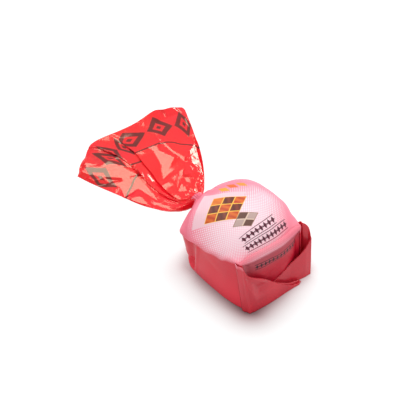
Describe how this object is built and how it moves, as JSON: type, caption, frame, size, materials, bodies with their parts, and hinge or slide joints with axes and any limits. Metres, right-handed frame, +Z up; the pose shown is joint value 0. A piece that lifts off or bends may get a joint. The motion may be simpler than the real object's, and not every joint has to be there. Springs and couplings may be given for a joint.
{
  "type": "wrapped cream-filled chocolate praline",
  "caption": "Cream-filled chocolate praline shut in printed film: domed block with an envelope-folded front and a twisted, fanned tail.",
  "frame": {"origin": "middle of the flat base under the block, on the surface it rests on", "axes": "+Z up, +Y from the folded front end towards the twisted tail, +X to the right when looking along +Y"},
  "size_m": [0.0482, 0.0862, 0.0274],
  "materials": {
    "printed_film": "thin printed film, satin sheen on the block and glossy and slightly see-through on the tail"
  },
  "bodies": {
    "root": {"wrapped_praline": "printed_film"}
  },
  "joints": []
}
